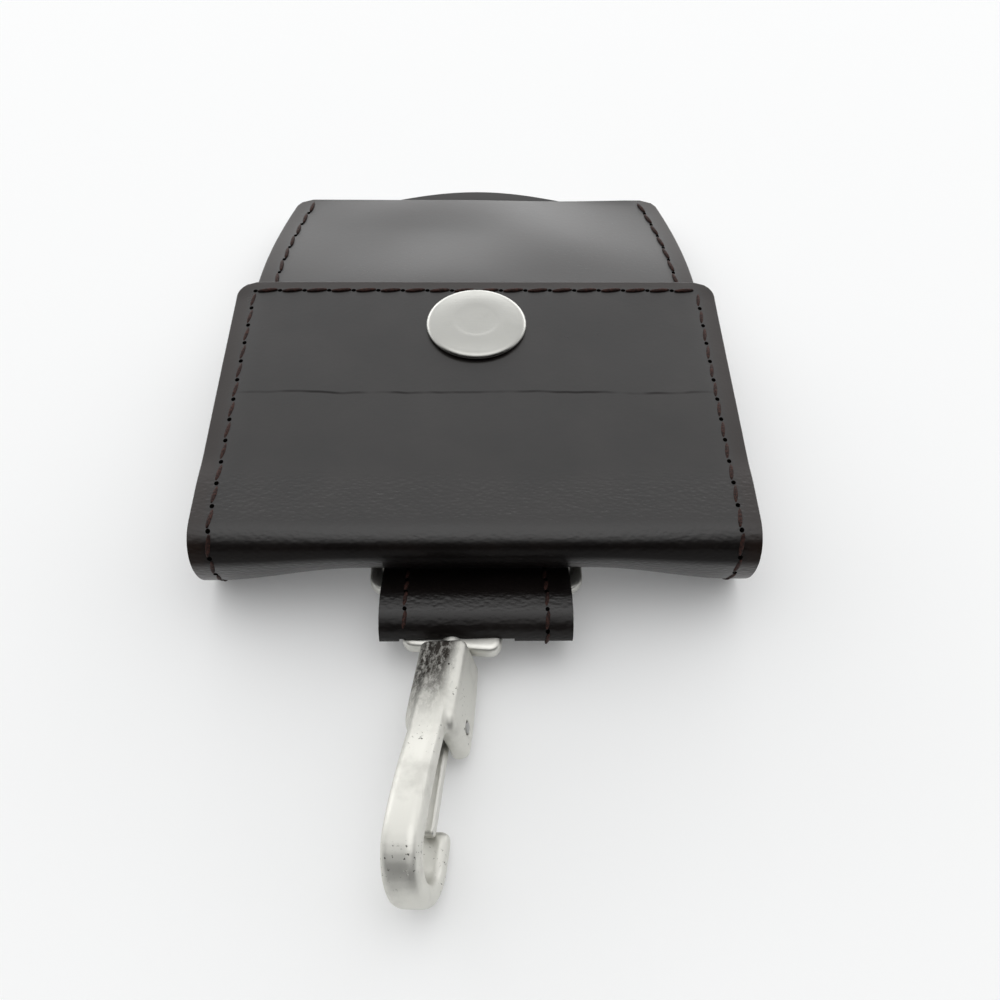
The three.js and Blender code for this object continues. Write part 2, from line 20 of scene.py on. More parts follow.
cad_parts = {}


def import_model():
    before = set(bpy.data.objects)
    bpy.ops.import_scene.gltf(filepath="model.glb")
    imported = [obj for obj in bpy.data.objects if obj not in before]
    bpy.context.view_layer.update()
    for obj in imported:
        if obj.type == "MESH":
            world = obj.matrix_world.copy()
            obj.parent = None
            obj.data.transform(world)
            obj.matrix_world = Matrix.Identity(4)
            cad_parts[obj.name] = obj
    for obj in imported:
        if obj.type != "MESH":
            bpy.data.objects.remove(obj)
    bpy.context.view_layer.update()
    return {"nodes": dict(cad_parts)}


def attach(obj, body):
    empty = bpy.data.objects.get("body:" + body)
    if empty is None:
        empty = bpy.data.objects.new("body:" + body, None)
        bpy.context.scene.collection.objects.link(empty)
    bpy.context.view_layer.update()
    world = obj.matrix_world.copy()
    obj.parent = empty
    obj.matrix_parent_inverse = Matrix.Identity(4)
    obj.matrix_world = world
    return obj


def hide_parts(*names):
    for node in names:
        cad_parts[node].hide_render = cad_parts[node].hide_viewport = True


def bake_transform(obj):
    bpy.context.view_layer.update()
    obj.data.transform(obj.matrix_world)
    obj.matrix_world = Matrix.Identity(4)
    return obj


LOG = logging.getLogger("leather_pouch")

MM = 0.001
FOLD_LINE = -16.184
SNAP_AT = 31.3
SNAP_SEAT = 9.8
MERGE_WITHIN = 1e-7
WELD_WITHIN = 1e-6

Colour = tuple[float, float, float]
Line = Sequence[tuple[Vector, Vector]]
Place = Callable[[float, float], Vector]
Share = Callable[[float, float], float]


class Body(str, Enum):
    """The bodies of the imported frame."""

    POUCH = "pouch"
    FLAP = "flap"
    RING = "ring"
    TAB = "tab"
    EYE = "eye"
    HOOK = "hook"
    GATE = "gate"


class Slot(str, Enum):
    """The material slots of the record."""

    LEATHER = "leather"
    LINING = "lining"
    NICKEL = "nickel"
    STEEL = "steel"


def lerp(a: float, b: float, t: float) -> float:
    """Goes from a to b as t goes from 0 to 1."""
    return a + (b - a) * t


def smoothstep(x: float, low: float, high: float) -> float:
    """Rises smoothly from 0 at low to 1 at high."""
    t = min(1.0, max(0.0, (x - low) / (high - low)))
    return t * t * (3 - 2 * t)


def to_frame(point: Vector) -> Vector:
    """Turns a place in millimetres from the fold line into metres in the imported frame."""
    return Vector((point.x, point.y + FOLD_LINE, point.z)) * MM


def outward(place: Place, a: float, b: float, step: float = 0.01) -> Vector:
    """Normal of a surface at a and b, by small steps."""
    p = place(a, b)
    return ((place(a + step, b) - p).cross(place(a, b + step) - p)).normalized()


class Term:
    """A shader value that Python's operators work on."""

    def __init__(self, graph: Graph, socket: bpy.types.NodeSocket) -> None:
        """Wraps one output socket of a graph."""
        self.graph = graph
        self.socket = socket

    def __add__(self, other: Any) -> Term:
        """self + other."""
        return self.graph.math("ADD", self, other)

    def __radd__(self, other: Any) -> Term:
        """other + self."""
        return self.graph.math("ADD", other, self)

    def __sub__(self, other: Any) -> Term:
        """self - other."""
        return self.graph.math("SUBTRACT", self, other)

    def __rsub__(self, other: Any) -> Term:
        """other - self."""
        return self.graph.math("SUBTRACT", other, self)

    def __mul__(self, other: Any) -> Term:
        """self * other."""
        return self.graph.math("MULTIPLY", self, other)

    def __rmul__(self, other: Any) -> Term:
        """other * self."""
        return self.graph.math("MULTIPLY", other, self)

    def __abs__(self) -> Term:
        """The value without its sign."""
        return self.graph.math("ABSOLUTE", self)

    def between(self, low: float, high: float) -> Term:
        """Rises smoothly from 0 at low to 1 at high.

        Args:
            low: value that gives 0.
            high: value that gives 1; below low, the term falls instead.

        Returns:
            The eased value.
        """
        node = self.graph.add(
            "ShaderNodeMapRange",
            {"interpolation_type": "SMOOTHSTEP", "clamp": True},
            {"Value": self, "From Min": low, "From Max": high, "To Min": 0.0, "To Max": 1.0},
        )
        return Term(self.graph, node.outputs["Result"])


class Graph:
    """A node tree that is written as expressions."""

    def __init__(self, tree: bpy.types.NodeTree) -> None:
        """Clears the tree and starts with nothing in it."""
        self.tree = tree
        tree.nodes.clear()

    def add(
        self,
        kind: str,
        settings: dict[str, Any] | None = None,
        inputs: dict[Any, Any] | None = None,
    ) -> bpy.types.Node:
        """Adds one node.

        Args:
            kind: the node's type.
            settings: properties, which are set before the sockets.
            inputs: socket names or numbers with their values or links.

        Returns:
            The new node.
        """
        node = self.tree.nodes.new(kind)
        for key, value in (settings or {}).items():
            setattr(node, key, value)
        for key, value in (inputs or {}).items():
            self._feed(node.inputs[key], value)
        return node

    def _feed(self, socket: bpy.types.NodeSocket, value: Any) -> None:
        """Links or sets one input socket."""
        if isinstance(value, Term):
            self.tree.links.new(value.socket, socket)
        elif isinstance(value, bpy.types.NodeSocket):
            self.tree.links.new(value, socket)
        elif isinstance(value, tuple) and len(value) == 3 and socket.type == "RGBA":
            socket.default_value = (*value, 1.0)
        else:
            socket.default_value = value

    def math(self, operation: str, *values: Any) -> Term:
        """Adds a Math node on values or links."""
        node = self.add("ShaderNodeMath", {"operation": operation}, dict(enumerate(values)))
        return Term(self, node.outputs[0])

    def vector(self, operation: str, *values: Any) -> Term:
        """Adds a Vector Math node on vectors or links."""
        node = self.add("ShaderNodeVectorMath", {"operation": operation}, dict(enumerate(values)))
        return Term(self, node.outputs[0])

    def mix(self, factor: Any, first: Any, second: Any) -> Term:
        """Mixes two colours by a factor.

        Args:
            factor: share of the second colour.
            first: colour at 0.
            second: colour at 1.

        Returns:
            The mixed colour.
        """
        node = self.add("ShaderNodeMix", {"data_type": "RGBA"}, {0: factor, 6: first, 7: second})
        return Term(self, node.outputs[2])

    def coordinates(self, output: str = "Object") -> Term:
        """The piece's own coordinates."""
        return Term(self, self.add("ShaderNodeTexCoord").outputs[output])

    def split(self, vector: Term) -> tuple[Term, Term, Term]:
        """The three parts of a vector."""
        x, y, z = self.add("ShaderNodeSeparateXYZ", None, {0: vector}).outputs
        return Term(self, x), Term(self, y), Term(self, z)

    def stretch(self, vector: Term, x: float, y: float, z: float) -> Term:
        """A vector with its parts multiplied; a pattern on it is longer where the number is below 1."""
        return self.vector("MULTIPLY", vector, (x, y, z))

    def attribute(self, name: str) -> Term:
        """A number that a mesh carries on its points."""
        return Term(self, self.add("ShaderNodeAttribute", {"attribute_name": name}).outputs["Fac"])

    def noise(
        self, vector: Term, size_mm: float, detail: float = 2.0, roughness: float = 0.5, warp: float = 0.0,
    ) -> Term:
        """Cloudy noise.

        Args:
            vector: the coordinates that it follows.
            size_mm: about how wide its blobs are.
            detail: how many finer layers it has.
            roughness: how strong the finer layers are.
            warp: how far the blobs are pulled about.

        Returns:
            The noise, from 0 to 1.
        """
        node = self.add("ShaderNodeTexNoise", None, {
            "Vector": vector, "Scale": 1 / (size_mm * MM), "Detail": detail, "Roughness": roughness,
            "Distortion": warp,
        })
        return Term(self, node.outputs["Fac"])

    def cells(self, vector: Term, size_mm: float) -> Term:
        """Smoothed distance in cells that are about size_mm wide."""
        inputs = {"Vector": vector, "Scale": 1 / (size_mm * MM)}
        node = self.add("ShaderNodeTexVoronoi", {"feature": "SMOOTH_F1"}, inputs)
        return Term(self, node.outputs["Distance"])

    def bump(self, height: Term, depth_mm: float) -> Term:
        """A normal from a height that runs from 0 to 1 over a depth."""
        node = self.add(
            "ShaderNodeBump", None, {"Strength": 1.0, "Distance": depth_mm * MM, "Height": height})
        return Term(self, node.outputs[0])

    def principled(self, inputs: dict[str, Any], painted_shade: Term | None = None) -> None:
        """Ends the tree in a Principled shader.

        Args:
            inputs: values for the shader's sockets.
            painted_shade: share of the same surface without its shine, which paints shade, from 0 to 1.
        """
        surface = self.add("ShaderNodeBsdfPrincipled", None, inputs).outputs[0]
        if painted_shade is not None:
            shineless = {**inputs, "Specular IOR Level": 0.0, "Coat Weight": 0.0}
            matt = self.add("ShaderNodeBsdfPrincipled", None, shineless).outputs[0]
            surface = self.add("ShaderNodeMixShader", None, {0: painted_shade, 1: surface, 2: matt}).outputs[0]
        self.add("ShaderNodeOutputMaterial", None, {"Surface": surface})


def new_material(name: str) -> tuple[bpy.types.Material, Graph]:
    """Makes an empty material and the graph that fills it."""
    material = bpy.data.materials.new(name)
    material.use_nodes = True
    return material, Graph(material.node_tree)


@dataclass(frozen=True)
class LeatherFinish:
    """Polished leather with fine grain, a mottled dye, browner edges, scuffs and painted shade where its
    shine is taken.

    The crease, where there is one, is a broken line of painted shade across the flap at a distance from the
    fold line.
    """

    name: str
    dark: Colour
    light: Colour
    grain_mm: float = 0.55
    grain_depth_mm: float = 0.012
    roughness: float = 0.3
    coat: float = 0.4
    coat_roughness: float = 0.16
    scuff: float = 0.0
    crease_at: float | None = None
    edge: Colour = (0.02, 0.011, 0.008)

    def material(self) -> bpy.types.Material:
        """Builds the leather's material.

        Returns:
            A material that reads Object coordinates, the "bend" attribute, which roughens folded leather,
            the "edge" attribute, which lets the dye look browner, and the attribute of painted shade, which
            takes its shine.
        """
        material, graph = new_material(self.name)
        place = graph.coordinates()
        bend, edge, painted_shade = (graph.attribute(name) for name in ("bend", "edge", "painted_shade"))
        mottle = graph.noise(place, 9.0, 4.0, 0.6)
        pore = graph.cells(place, self.grain_mm)
        fine = graph.noise(place, self.grain_mm * 0.5, 3.0)
        wrinkle = graph.noise(graph.stretch(place, 0.45, 1.0, 1.0), 0.6, 3.0, 0.65, 0.6)
        pebble = graph.cells(graph.stretch(place, 0.6, 1.0, 1.0), 0.45)
        scratch = graph.noise(graph.stretch(place, 1.0, 4.0, 1.0), 1.2, 5.0, 0.7).between(0.62, 0.74)
        worn = graph.noise(place, 14.0, 2.0).between(0.5, 0.7) * scratch * self.scuff
        height = pore * 0.6 + fine * 0.4 + bend * (wrinkle * 3.5 + pebble * 5.0) - worn * 4.0
        dye = graph.mix(mottle.between(0.3, 0.75), self.dark, self.light)
        # Painted shade: a broken line of lost shine darkens the crease.
        if self.crease_at is not None:
            painted_shade = painted_shade + self._crease_shade(graph, place) * 0.6
        graph.principled({
            "Base Color": graph.mix(edge * 0.5, dye, self.edge),
            "Roughness": self.roughness + (mottle - 0.5) * 0.12 + bend * 0.1 + worn * 0.25,
            "Coat Weight": (1 - bend * 0.3) * (1 - edge * 0.6) * (1 - worn * 0.6) * self.coat,
            "Coat Roughness": self.coat_roughness,
            "Specular IOR Level": 0.5,
            "Normal": graph.bump(height, self.grain_depth_mm),
        }, painted_shade)
        return material

    def _crease_shade(self, graph: Graph, place: Term) -> Term:
        """A fine broken line across the flap's upper face, where shine is taken as painted shade of the
        crease.

        Args:
            graph: the material's graph.
            place: Object coordinates.

        Returns:
            1 on the line and 0 beside it.
        """
        x, y, z = graph.split(place)
        row = graph.stretch(place, 1.0, 0.0, 0.0)
        wander = (graph.noise(row, 16.0, 3.0) - 0.5) * (2.4 * MM)
        line = abs(y - (self.crease_at + FOLD_LINE) * MM + wander).between(0.34 * MM, 0.08 * MM)
        broken = graph.noise(row, 9.0, 2.0).between(0.34, 0.6) * abs(x).between(36 * MM, 28 * MM)
        return line * broken * z.between(10 * MM, 13 * MM)


@dataclass(frozen=True)
class MetalFinish:
    """Worn plated metal with soft dents and dark pits, and on the hook a stain with painted reflection."""

    name: str
    colour: Colour
    tarnish: Colour
    roughness: float = 0.3
    pits: float = 1.0
    brushed: float = 0.0
    neck_stain_and_reflection: bool = False

    def material(self) -> bpy.types.Material:
        """Builds the metal's material.

        Returns:
            A material that reads Object coordinates.
        """
        material, graph = new_material(self.name)
        place = graph.coordinates()
        cloud = graph.noise(place, 5.0, 4.0, 0.6)
        speck = graph.noise(place, 0.5, 3.0, 0.65).between(0.62, 0.7)
        patch = graph.noise(place, 4.5, 2.0).between(0.5, 0.68)
        pit = speck * patch * self.pits
        lines = graph.noise(graph.stretch(place, 0.08, 1.0, 1.0), 0.25, 2.0)
        height = cloud * 0.6 + lines * self.brushed - pit * 1.2
        share = pit * 0.85 + cloud.between(0.45, 0.8) * 0.25
        # Stain on the hook's neck that also paints the dark reflection of the loop above it.
        if self.neck_stain_and_reflection:
            share = share + self._tarnish_and_painted_reflection(graph, place)
        graph.principled({
            "Base Color": graph.mix(graph.math("MINIMUM", share, 1.0), self.colour, self.tarnish),
            "Metallic": 1.0,
            "Roughness": self.roughness + (cloud - 0.5) * 0.2 + pit * 0.3,
            "Normal": graph.bump(height, 0.03),
        })
        return material

    @staticmethod
    def _tarnish_and_painted_reflection(graph: Graph, place: Term) -> Term:
        """A dark ragged stain on the hook's neck and spine, and painted reflection of the loop above.

        Args:
            graph: the material's graph.
            place: Object coordinates.

        Returns:
            The share of dark colour that it adds, as stain and painted reflection.
        """
        x, y, z = graph.split(place)
        rough = graph.noise(graph.stretch(place, 1.0, 0.45, 1.0), 0.6, 4.0, 0.75)
        aside = abs(x + 4.5 * MM - (y + 35.5 * MM) * 0.19 + (rough - 0.5) * (2.5 * MM))
        along, upper = y.between(-50 * MM, -36 * MM), z.between(7.0 * MM, 8.4 * MM)
        return aside.between(3.0 * MM, 1.2 * MM) * along * upper * (0.55 + rough.between(0.35, 0.6) * 0.6)


@dataclass(frozen=True)
class ThreadFinish:
    """Waxed sewing thread."""

    name: str
    colour: Colour
    shade: Colour
    shine: float = 0.2

    def material(self) -> bpy.types.Material:
        """Builds the thread's material."""
        material, graph = new_material(self.name)
        place = graph.coordinates()
        strand = graph.noise(place, 0.35, 2.0, 0.6)
        graph.principled({
            "Base Color": graph.mix(strand.between(0.35, 0.7), self.shade, self.colour),
            "Roughness": 0.55 + strand * 0.2,
            "Specular IOR Level": self.shine,
            "Normal": graph.bump(strand, 0.08),
        })
        return material


@dataclass(frozen=True)
class Finishes:
    """Every finish of the pouch, made once."""

    flap: bpy.types.Material
    pocket: bpy.types.Material
    tab: bpy.types.Material
    lining: bpy.types.Material
    thread: bpy.types.Material
    hole: bpy.types.Material
    nickel: bpy.types.Material
    hook: bpy.types.Material
    cap: bpy.types.Material
    steel: bpy.types.Material

    @classmethod
    def make(cls) -> Finishes:
        """Builds the materials of the whole pouch."""
        dark, light = (0.0042, 0.0032, 0.003), (0.0075, 0.0056, 0.005)
        looks: dict[str, LeatherFinish | ThreadFinish | MetalFinish] = {
            "flap": LeatherFinish("polished_flap_leather", dark, light, crease_at=17.4),
            "pocket": LeatherFinish("rubbed_pocket_leather", dark, light, roughness=0.42, scuff=1.0),
            "tab": LeatherFinish("grained_loop_leather", dark, light, grain_mm=0.6, grain_depth_mm=0.02),
            "lining": LeatherFinish(
                "matt_lining_leather", (0.03, 0.019, 0.014), (0.05, 0.033, 0.025),
                grain_mm=0.8, grain_depth_mm=0.03, roughness=0.62, coat=0.0),
            "thread": ThreadFinish("waxed_brown_thread", (0.05, 0.02, 0.015), (0.012, 0.005, 0.004)),
            # Near black without shine: painted shade of the needle holes.
            "hole": ThreadFinish("painted_hole_shade", (0.002, 0.0015, 0.001), (0.001, 0.001, 0.001), shine=0.0),
            "nickel": MetalFinish("worn_nickel", (0.68, 0.675, 0.635), (0.1, 0.09, 0.08), roughness=0.42),
            "hook": MetalFinish(
                "hook_nickel_stain_and_painted_reflection", (0.7, 0.695, 0.65), (0.05, 0.045, 0.04),
                roughness=0.5, pits=1.3, neck_stain_and_reflection=True),
            "cap": MetalFinish(
                "brushed_nickel_cap", (0.48, 0.48, 0.455), (0.25, 0.25, 0.23),
                roughness=0.34, pits=0.25, brushed=0.3),
            "steel": MetalFinish(
                "plain_spring_steel", (0.4, 0.4, 0.39), (0.08, 0.075, 0.07), roughness=0.4),
        }
        return cls(**{use: look.material() for use, look in looks.items()})


def finish_piece(
    name: str,
    form: bmesh.types.BMesh,
    materials: Sequence[bpy.types.Material],
    replaced: Sequence[str] = (),
) -> bpy.types.Object:
    """Turns a bmesh into a smooth-shaded piece of the pouch.

    Args:
        name: the piece's name.
        form: its shape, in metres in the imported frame; it is freed.
        materials: its materials, in the order of the faces' indices.
        replaced: the CAD nodes that it stands for.

    Returns:
        The new object, which still has to ride on a body.
    """
    mesh = bpy.data.meshes.new(name)
    for face in form.faces:
        face.smooth = True
    form.to_mesh(mesh)
    form.free()
    for material in materials:
        mesh.materials.append(material)
    piece = bpy.data.objects.new(name, mesh)
    bpy.context.scene.collection.objects.link(piece)
    if replaced:
        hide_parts(*replaced)
    LOG.info("%s: %d points", name, len(mesh.vertices))
    return piece


def sheet_form(
    place: Place, columns: int, rows: int, shares: dict[str, Share] | None = None,
) -> bmesh.types.BMesh:
    """Lays a grid over a surface.

    Args:
        place: gives the place in millimetres for u and v, each from -1 to 1.
        columns: faces across.
        rows: faces along.
        shares: functions of u and v, each from 0 to 1, by the name of the point attribute that keeps them.

    Returns:
        The open sheet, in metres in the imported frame.
    """
    form = bmesh.new()
    kept = [(form.verts.layers.float.new(name), share) for name, share in (shares or {}).items()]
    bmesh.ops.create_grid(form, x_segments=columns, y_segments=rows, size=1.0)
    for vert in form.verts:
        u, v = vert.co.x, vert.co.y
        for layer, share in kept:
            vert[layer] = share(u, v)
        vert.co = to_frame(place(u, v))
    return form


def thicken(piece: bpy.types.Object, thickness: float, edge: float) -> None:
    """Gives a sheet its leather thickness and eased edges.

    Args:
        piece: the open sheet.
        thickness: in millimetres.
        edge: radius of the eased edges in millimetres.
    """
    solid = piece.modifiers.new("thickness", "SOLIDIFY")
    solid.thickness = thickness * MM
    solid.offset = -1.0
    eased = piece.modifiers.new("eased_edge", "BEVEL")
    eased.width = edge * MM
    eased.segments = 3
    eased.limit_method = "ANGLE"
    eased.angle_limit = math.radians(50)
    eased.harden_normals = True


@dataclass(frozen=True)
class Seam:
    """One line of sewing: its pitch, thread and slant, in millimetres and degrees."""

    pitch: float = 3.85
    stitch: float = 3.3
    thread: float = 0.66
    slant: float = 7.0
    hole: float = 0.36
    proud: float = 0.1
    hole_depth: float = 0.12

    def piece(self, name: str, lines: Sequence[Line], finishes: Finishes) -> bpy.types.Object:
        """Sews along some lines.

        Args:
            name: the piece's name.
            lines: each line's (place, outward direction) pairs, in millimetres.
            finishes: the pouch's finishes.

        Returns:
            The stitches as one piece, which still has to ride on a body.
        """
        form = bmesh.new()
        for line in lines:
            self._sew(form, line)
        return finish_piece(name, form, [finishes.thread, finishes.hole])

    def _sew(self, form: bmesh.types.BMesh, line: Line) -> None:
        """Adds the stitches and the painted shade of the needle holes of one line."""
        reach = [0.0]
        for (a, _), (b, _) in zip(line, line[1:]):
            reach.append(reach[-1] + (b - a).length)
        count = max(1, round(reach[-1] / self.pitch))
        pitch = reach[-1] / count
        for number in range(count):
            self._stitch(form, *self._spot(line, reach, (number + 0.5) * pitch))
            self._shade_in_hole(form, *self._spot(line, reach, number * pitch))

    @staticmethod
    def _spot(line: Line, reach: Sequence[float], at: float) -> tuple[Vector, Vector, Vector]:
        """Finds a spot on a line.

        Args:
            line: (place, outward direction) pairs in millimetres.
            reach: distance along the line at each pair.
            at: distance along the line of the spot.

        Returns:
            The spot's place, the line's direction there and the outward direction.
        """
        past = next((i for i, distance in enumerate(reach) if distance >= at), len(reach) - 1)
        index = max(0, min(len(reach) - 2, past - 1))
        (a, na), (b, nb) = line[index], line[index + 1]
        share = (at - reach[index]) / max(1e-9, reach[index + 1] - reach[index])
        return a.lerp(b, share), (b - a).normalized(), na.lerp(nb, share).normalized()

    def _stitch(self, form: bmesh.types.BMesh, at: Vector, along: Vector, out: Vector) -> None:
        """Adds one stitch, whose ends dip into the leather."""
        side = out.cross(along).normalized()
        turn = Matrix.Rotation(math.radians(self.slant), 3, out)
        radii = (self.stitch / 2, self.thread / 2, self.thread * 0.42)
        self._blob(form, at + out * self.proud, (turn @ along, turn @ side, out), radii, 0)

    def _shade_in_hole(self, form: bmesh.types.BMesh, at: Vector, along: Vector, out: Vector) -> None:
        """Adds a near-black spot of painted shade for the needle hole between two stitches."""
        side = out.cross(along).normalized()
        radii = (self.hole, self.hole * 0.9, self.hole_depth)
        self._blob(form, at, (along, side, out), radii, 1)

    @staticmethod
    def _blob(
        form: bmesh.types.BMesh, at: Vector, axes: Sequence[Vector], radii: Sequence[float], material: int,
    ) -> None:
        """Adds a small ellipsoid.

        Args:
            form: mesh that it goes into.
            at: its middle.
            axes: its three directions.
            radii: its radius along each direction.
            material: index of its material.
        """
        basis = Matrix([axis * radius for axis, radius in zip(axes, radii)]).transposed().to_4x4() * MM
        basis[3][3] = 1.0
        made = bmesh.ops.create_uvsphere(
            form, u_segments=10, v_segments=7, radius=1.0, matrix=Matrix.Translation(to_frame(at)) @ basis)
        for face in {face for vert in made["verts"] for face in vert.link_faces}:
            face.material_index = material


@dataclass
class PouchLeather:
    """The pouch's leather: a sheet from the back round the fold to the flap, its lining and the pocket.

    The sheet and its lining are each two pieces, which meet where the back ends and the fold begins.
    """

    width: float = 74.0
    bottom_width: float = 65.0
    taper_start: float = 45.0
    length: float = 78.3
    height: float = 16.0
    leather: float = 1.6
    lining: float = 1.1
    leather_edge: float = 0.45
    lining_edge: float = 0.25
    bottom_corner: float = 2.4
    bottom_arch: float = 6.0
    bottom_curl: float = 1.2
    mouth_setback: float = 4.0
    mouth_height: float = 12.55
    flap_reach: float = 41.5
    flap_corner: float = 3.0
    fold_depth: float = 6.9
    fold_lean: float = 5.4
    hollow: float = 4.16
    hollow_half: float = 15.2
    hollow_end: float = 16.1
    hollow_fade: float = 20.0
    hollow_runout: float = 13.0
    seam_inset: float = 2.7
    seam_height: float = 4.6
    pocket_seam: float = 3.0
    flap_seam_end: float = 2.1
    side_lift: float = 2.6
    lining_inset: float = 0.5
    turn_start: tuple[float, float] = (-2.0, 9.2)
    turn_reach: float = 13.4

    def half_width(self, y: float) -> float:
        """Half the width of the back at a distance from the fold line."""
        taper = (max(0.0, y - self.taper_start) / (self.length - self.taper_start)) ** 2
        side = lerp(self.width, self.bottom_width, taper) / 2
        return side - self.corner(self.length - y, self.bottom_corner)

    @staticmethod
    def corner(distance: float, radius: float) -> float:
        """How far a side stands in near an end with a round corner."""
        into = max(0.0, radius - distance)
        return radius - math.sqrt(max(0.0, radius * radius - into * into))

    def stand(self, x: float, y: float) -> float:
        """How far the back stands off the table, over the ring."""
        across = 1 - smoothstep(abs(x), self.hollow_half, self.hollow_half + self.hollow_fade)
        along = 1 - smoothstep(y, self.hollow_end, self.hollow_end + self.hollow_runout)
        return self.hollow * across * along

    def lift(self, y: float) -> float:
        """How far the filled pocket raises the sewn sides at a distance from the fold line."""
        return self.side_lift * smoothstep(y, 10.0, 34.0) * (1 - smoothstep(y, 46.0, self.length + 8.0))

    @property
    def fold_length(self) -> float:
        """Length of leather round the fold."""
        return math.pi * self.height / 2

    @property
    def total(self) -> float:
        """Length of the whole outer sheet."""
        return self.length + self.fold_length + self.fold_lean + self.flap_reach

    def outer(self, across: float, run: float, depth: float = 0.0, inset: float = 0.0) -> Vector:
        """A place on the outer sheet.

        Args:
            across: from -1 at the left side to 1 at the right.
            run: distance along the sheet from the bottom edge over the back and the fold.
            depth: distance into the leather.
            inset: how far the sides and ends stand in.

        Returns:
            The place in millimetres.
        """
        if run < self.length:
            y = self.length - run
            x = across * (self.half_width(y) - inset)
            arch = 0.0 if inset else self.bottom_arch * (1 - across * across) ** 1.4
            y = min(y, self.length - inset) + arch * (y / self.length) ** 3
            curl = self.bottom_curl * (max(0.0, y - self.length) / self.bottom_arch) ** 2
            side = self.lift(y) * smoothstep(abs(across), 0.35, 1.0)
            return Vector((x, y, self.stand(x, y) + curl + side + depth))
        run -= self.length
        if run < self.fold_length:
            x = across * (self.width / 2 - inset)
            stand = self.stand(x, 0.0)
            angle = math.pi * run / self.fold_length
            middle = (self.height + stand) / 2
            lean = self.fold_lean * ((1 - math.cos(angle)) / 2) ** 1.5
            y = -(self.fold_depth - depth) * math.sin(angle) - lean
            return Vector((x, y, middle - ((self.height - stand) / 2 - depth) * math.cos(angle)))
        y = min(run - self.fold_length - self.fold_lean, self.flap_reach - inset)
        half = self.width / 2 - inset - self.corner(self.flap_reach - inset - y, self.flap_corner)
        x = across * half
        return Vector((x, y, self.height - depth + self.flap_wave(x, y)))

    def flap_wave(self, x: float, y: float) -> float:
        """Slight unevenness of the flap, which falls towards its sides."""
        swell = noise.noise(Vector((x * 0.045, y * 0.06, 3.1))) * 0.16
        sides = -0.35 * smoothstep(abs(x), self.width / 2 - 5.0, self.width / 2)
        near_edge = smoothstep(y, self.flap_reach - 4.0, self.flap_reach)
        return (swell + sides) * smoothstep(y, 0.0, 6.0) * (1 - near_edge * 0.5)

    @staticmethod
    def spread(u: float) -> float:
        """Crowds columns towards the sides, where the seams are."""
        return math.sin(u * math.pi / 2) * 0.6 + u * 0.4

    @property
    def lining_depth(self) -> float:
        """How far the lining lies below the outer face."""
        return self.leather + 0.05

    def bend(self, run: float) -> float:
        """How strongly the leather is folded at a distance along the sheet."""
        start = self.length + self.fold_length * 0.2
        end = self.length + self.fold_length + self.fold_lean
        return smoothstep(run, start, start + 8) * (1 - smoothstep(run, end - 1.0, end + 4.0))

    def painted_shade(self, run: float) -> float:
        """Painted shade on the fold's front: how much of its shine is taken at a distance along the sheet.
        """
        turn = 180 * (run - self.length) / self.fold_length
        return 0.8 * smoothstep(turn, 108.0, 122.0) * (1 - smoothstep(turn, 142.0, 152.0))

    def border(self, across: float, run: float) -> float:
        """How near a place on the outer sheet is to its sides or to the flap's edge."""
        side = (1 - abs(across)) * self.width / 2
        return max(1 - smoothstep(side, 1.4, 3.0), 1 - smoothstep(self.total - run, 1.0, 2.2))

    def pocket_ridge(self, t: float) -> tuple[float, float]:
        """Place and height of the pocket's front along its middle, from the mouth to the bottom edge."""
        y = lerp(self.mouth_setback, self.length, t)
        if y < SNAP_AT:
            return y, lerp(self.mouth_height, SNAP_SEAT, smoothstep(y, self.mouth_setback - 4, SNAP_AT + 2))
        fall = (y - SNAP_AT) / (self.length - SNAP_AT)
        return y, lerp(SNAP_SEAT, self.seam_height + 0.1, fall ** 1.6 * (1 - 0.25 * fall) / 0.75)

    def pocket(self, across: float, t: float) -> Vector:
        """A place on the pocket's front.

        Args:
            across: from -1 at the left side to 1 at the right.
            t: from 0 at the mouth to 1 at the bottom edge.

        Returns:
            The place in millimetres.
        """
        y, ridge = self.pocket_ridge(t)
        inner = 1 - self.pocket_seam / self.half_width(y)
        crown = 1 - min(1.0, abs(across) / inner) ** 4
        dimple = -0.35 * math.exp(-((across * 35) ** 2 + (y - SNAP_AT) ** 2) / 60)
        swell = noise.noise(Vector((across * 1.6, y * 0.06, 7.7))) * 0.3 * crown
        x = across * self.half_width(y)
        return Vector((x, y, lerp(self.seam_height + self.lift(y), ridge, crown) + (dimple + swell)))

    def build(self, finishes: Finishes) -> None:
        """Builds and dresses the leather sheets."""
        back, turned = (0.0, self.length), (self.length, self.total)
        for piece in (
            self._sheet("back_leather", ["back_panel"], finishes.flap, back),
            self._sheet("back_lining_leather", ["back_lining"], finishes.lining, back, True),
        ):
            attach(piece, Body.POUCH.value)
        flap = self._sheet("flap_leather", ["fold_outer", "flap_outer"], finishes.flap, turned)
        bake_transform(flap)
        nodes = ["fold_lining", "flap_lining"]
        lining = self._sheet("flap_lining_leather", nodes, finishes.lining, turned, True)
        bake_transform(lining)
        self._pocket_front(finishes)
        self._sew_flap(finishes)
        self._sew_pocket(finishes)

    def _pocket_front(self, finishes: Finishes) -> None:
        """Builds the front of the pocket."""
        front = finish_piece(
            "pocket_leather",
            sheet_form(
                lambda u, v: self.pocket(self.spread(u), (v + 1) / 2), 56, 72,
                {"edge": lambda u, v: self.border(self.spread(u), 0.0)}),
            [finishes.pocket], ["pocket_front"])
        thicken(front, self.leather, self.leather_edge)
        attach(front, Body.POUCH.value)

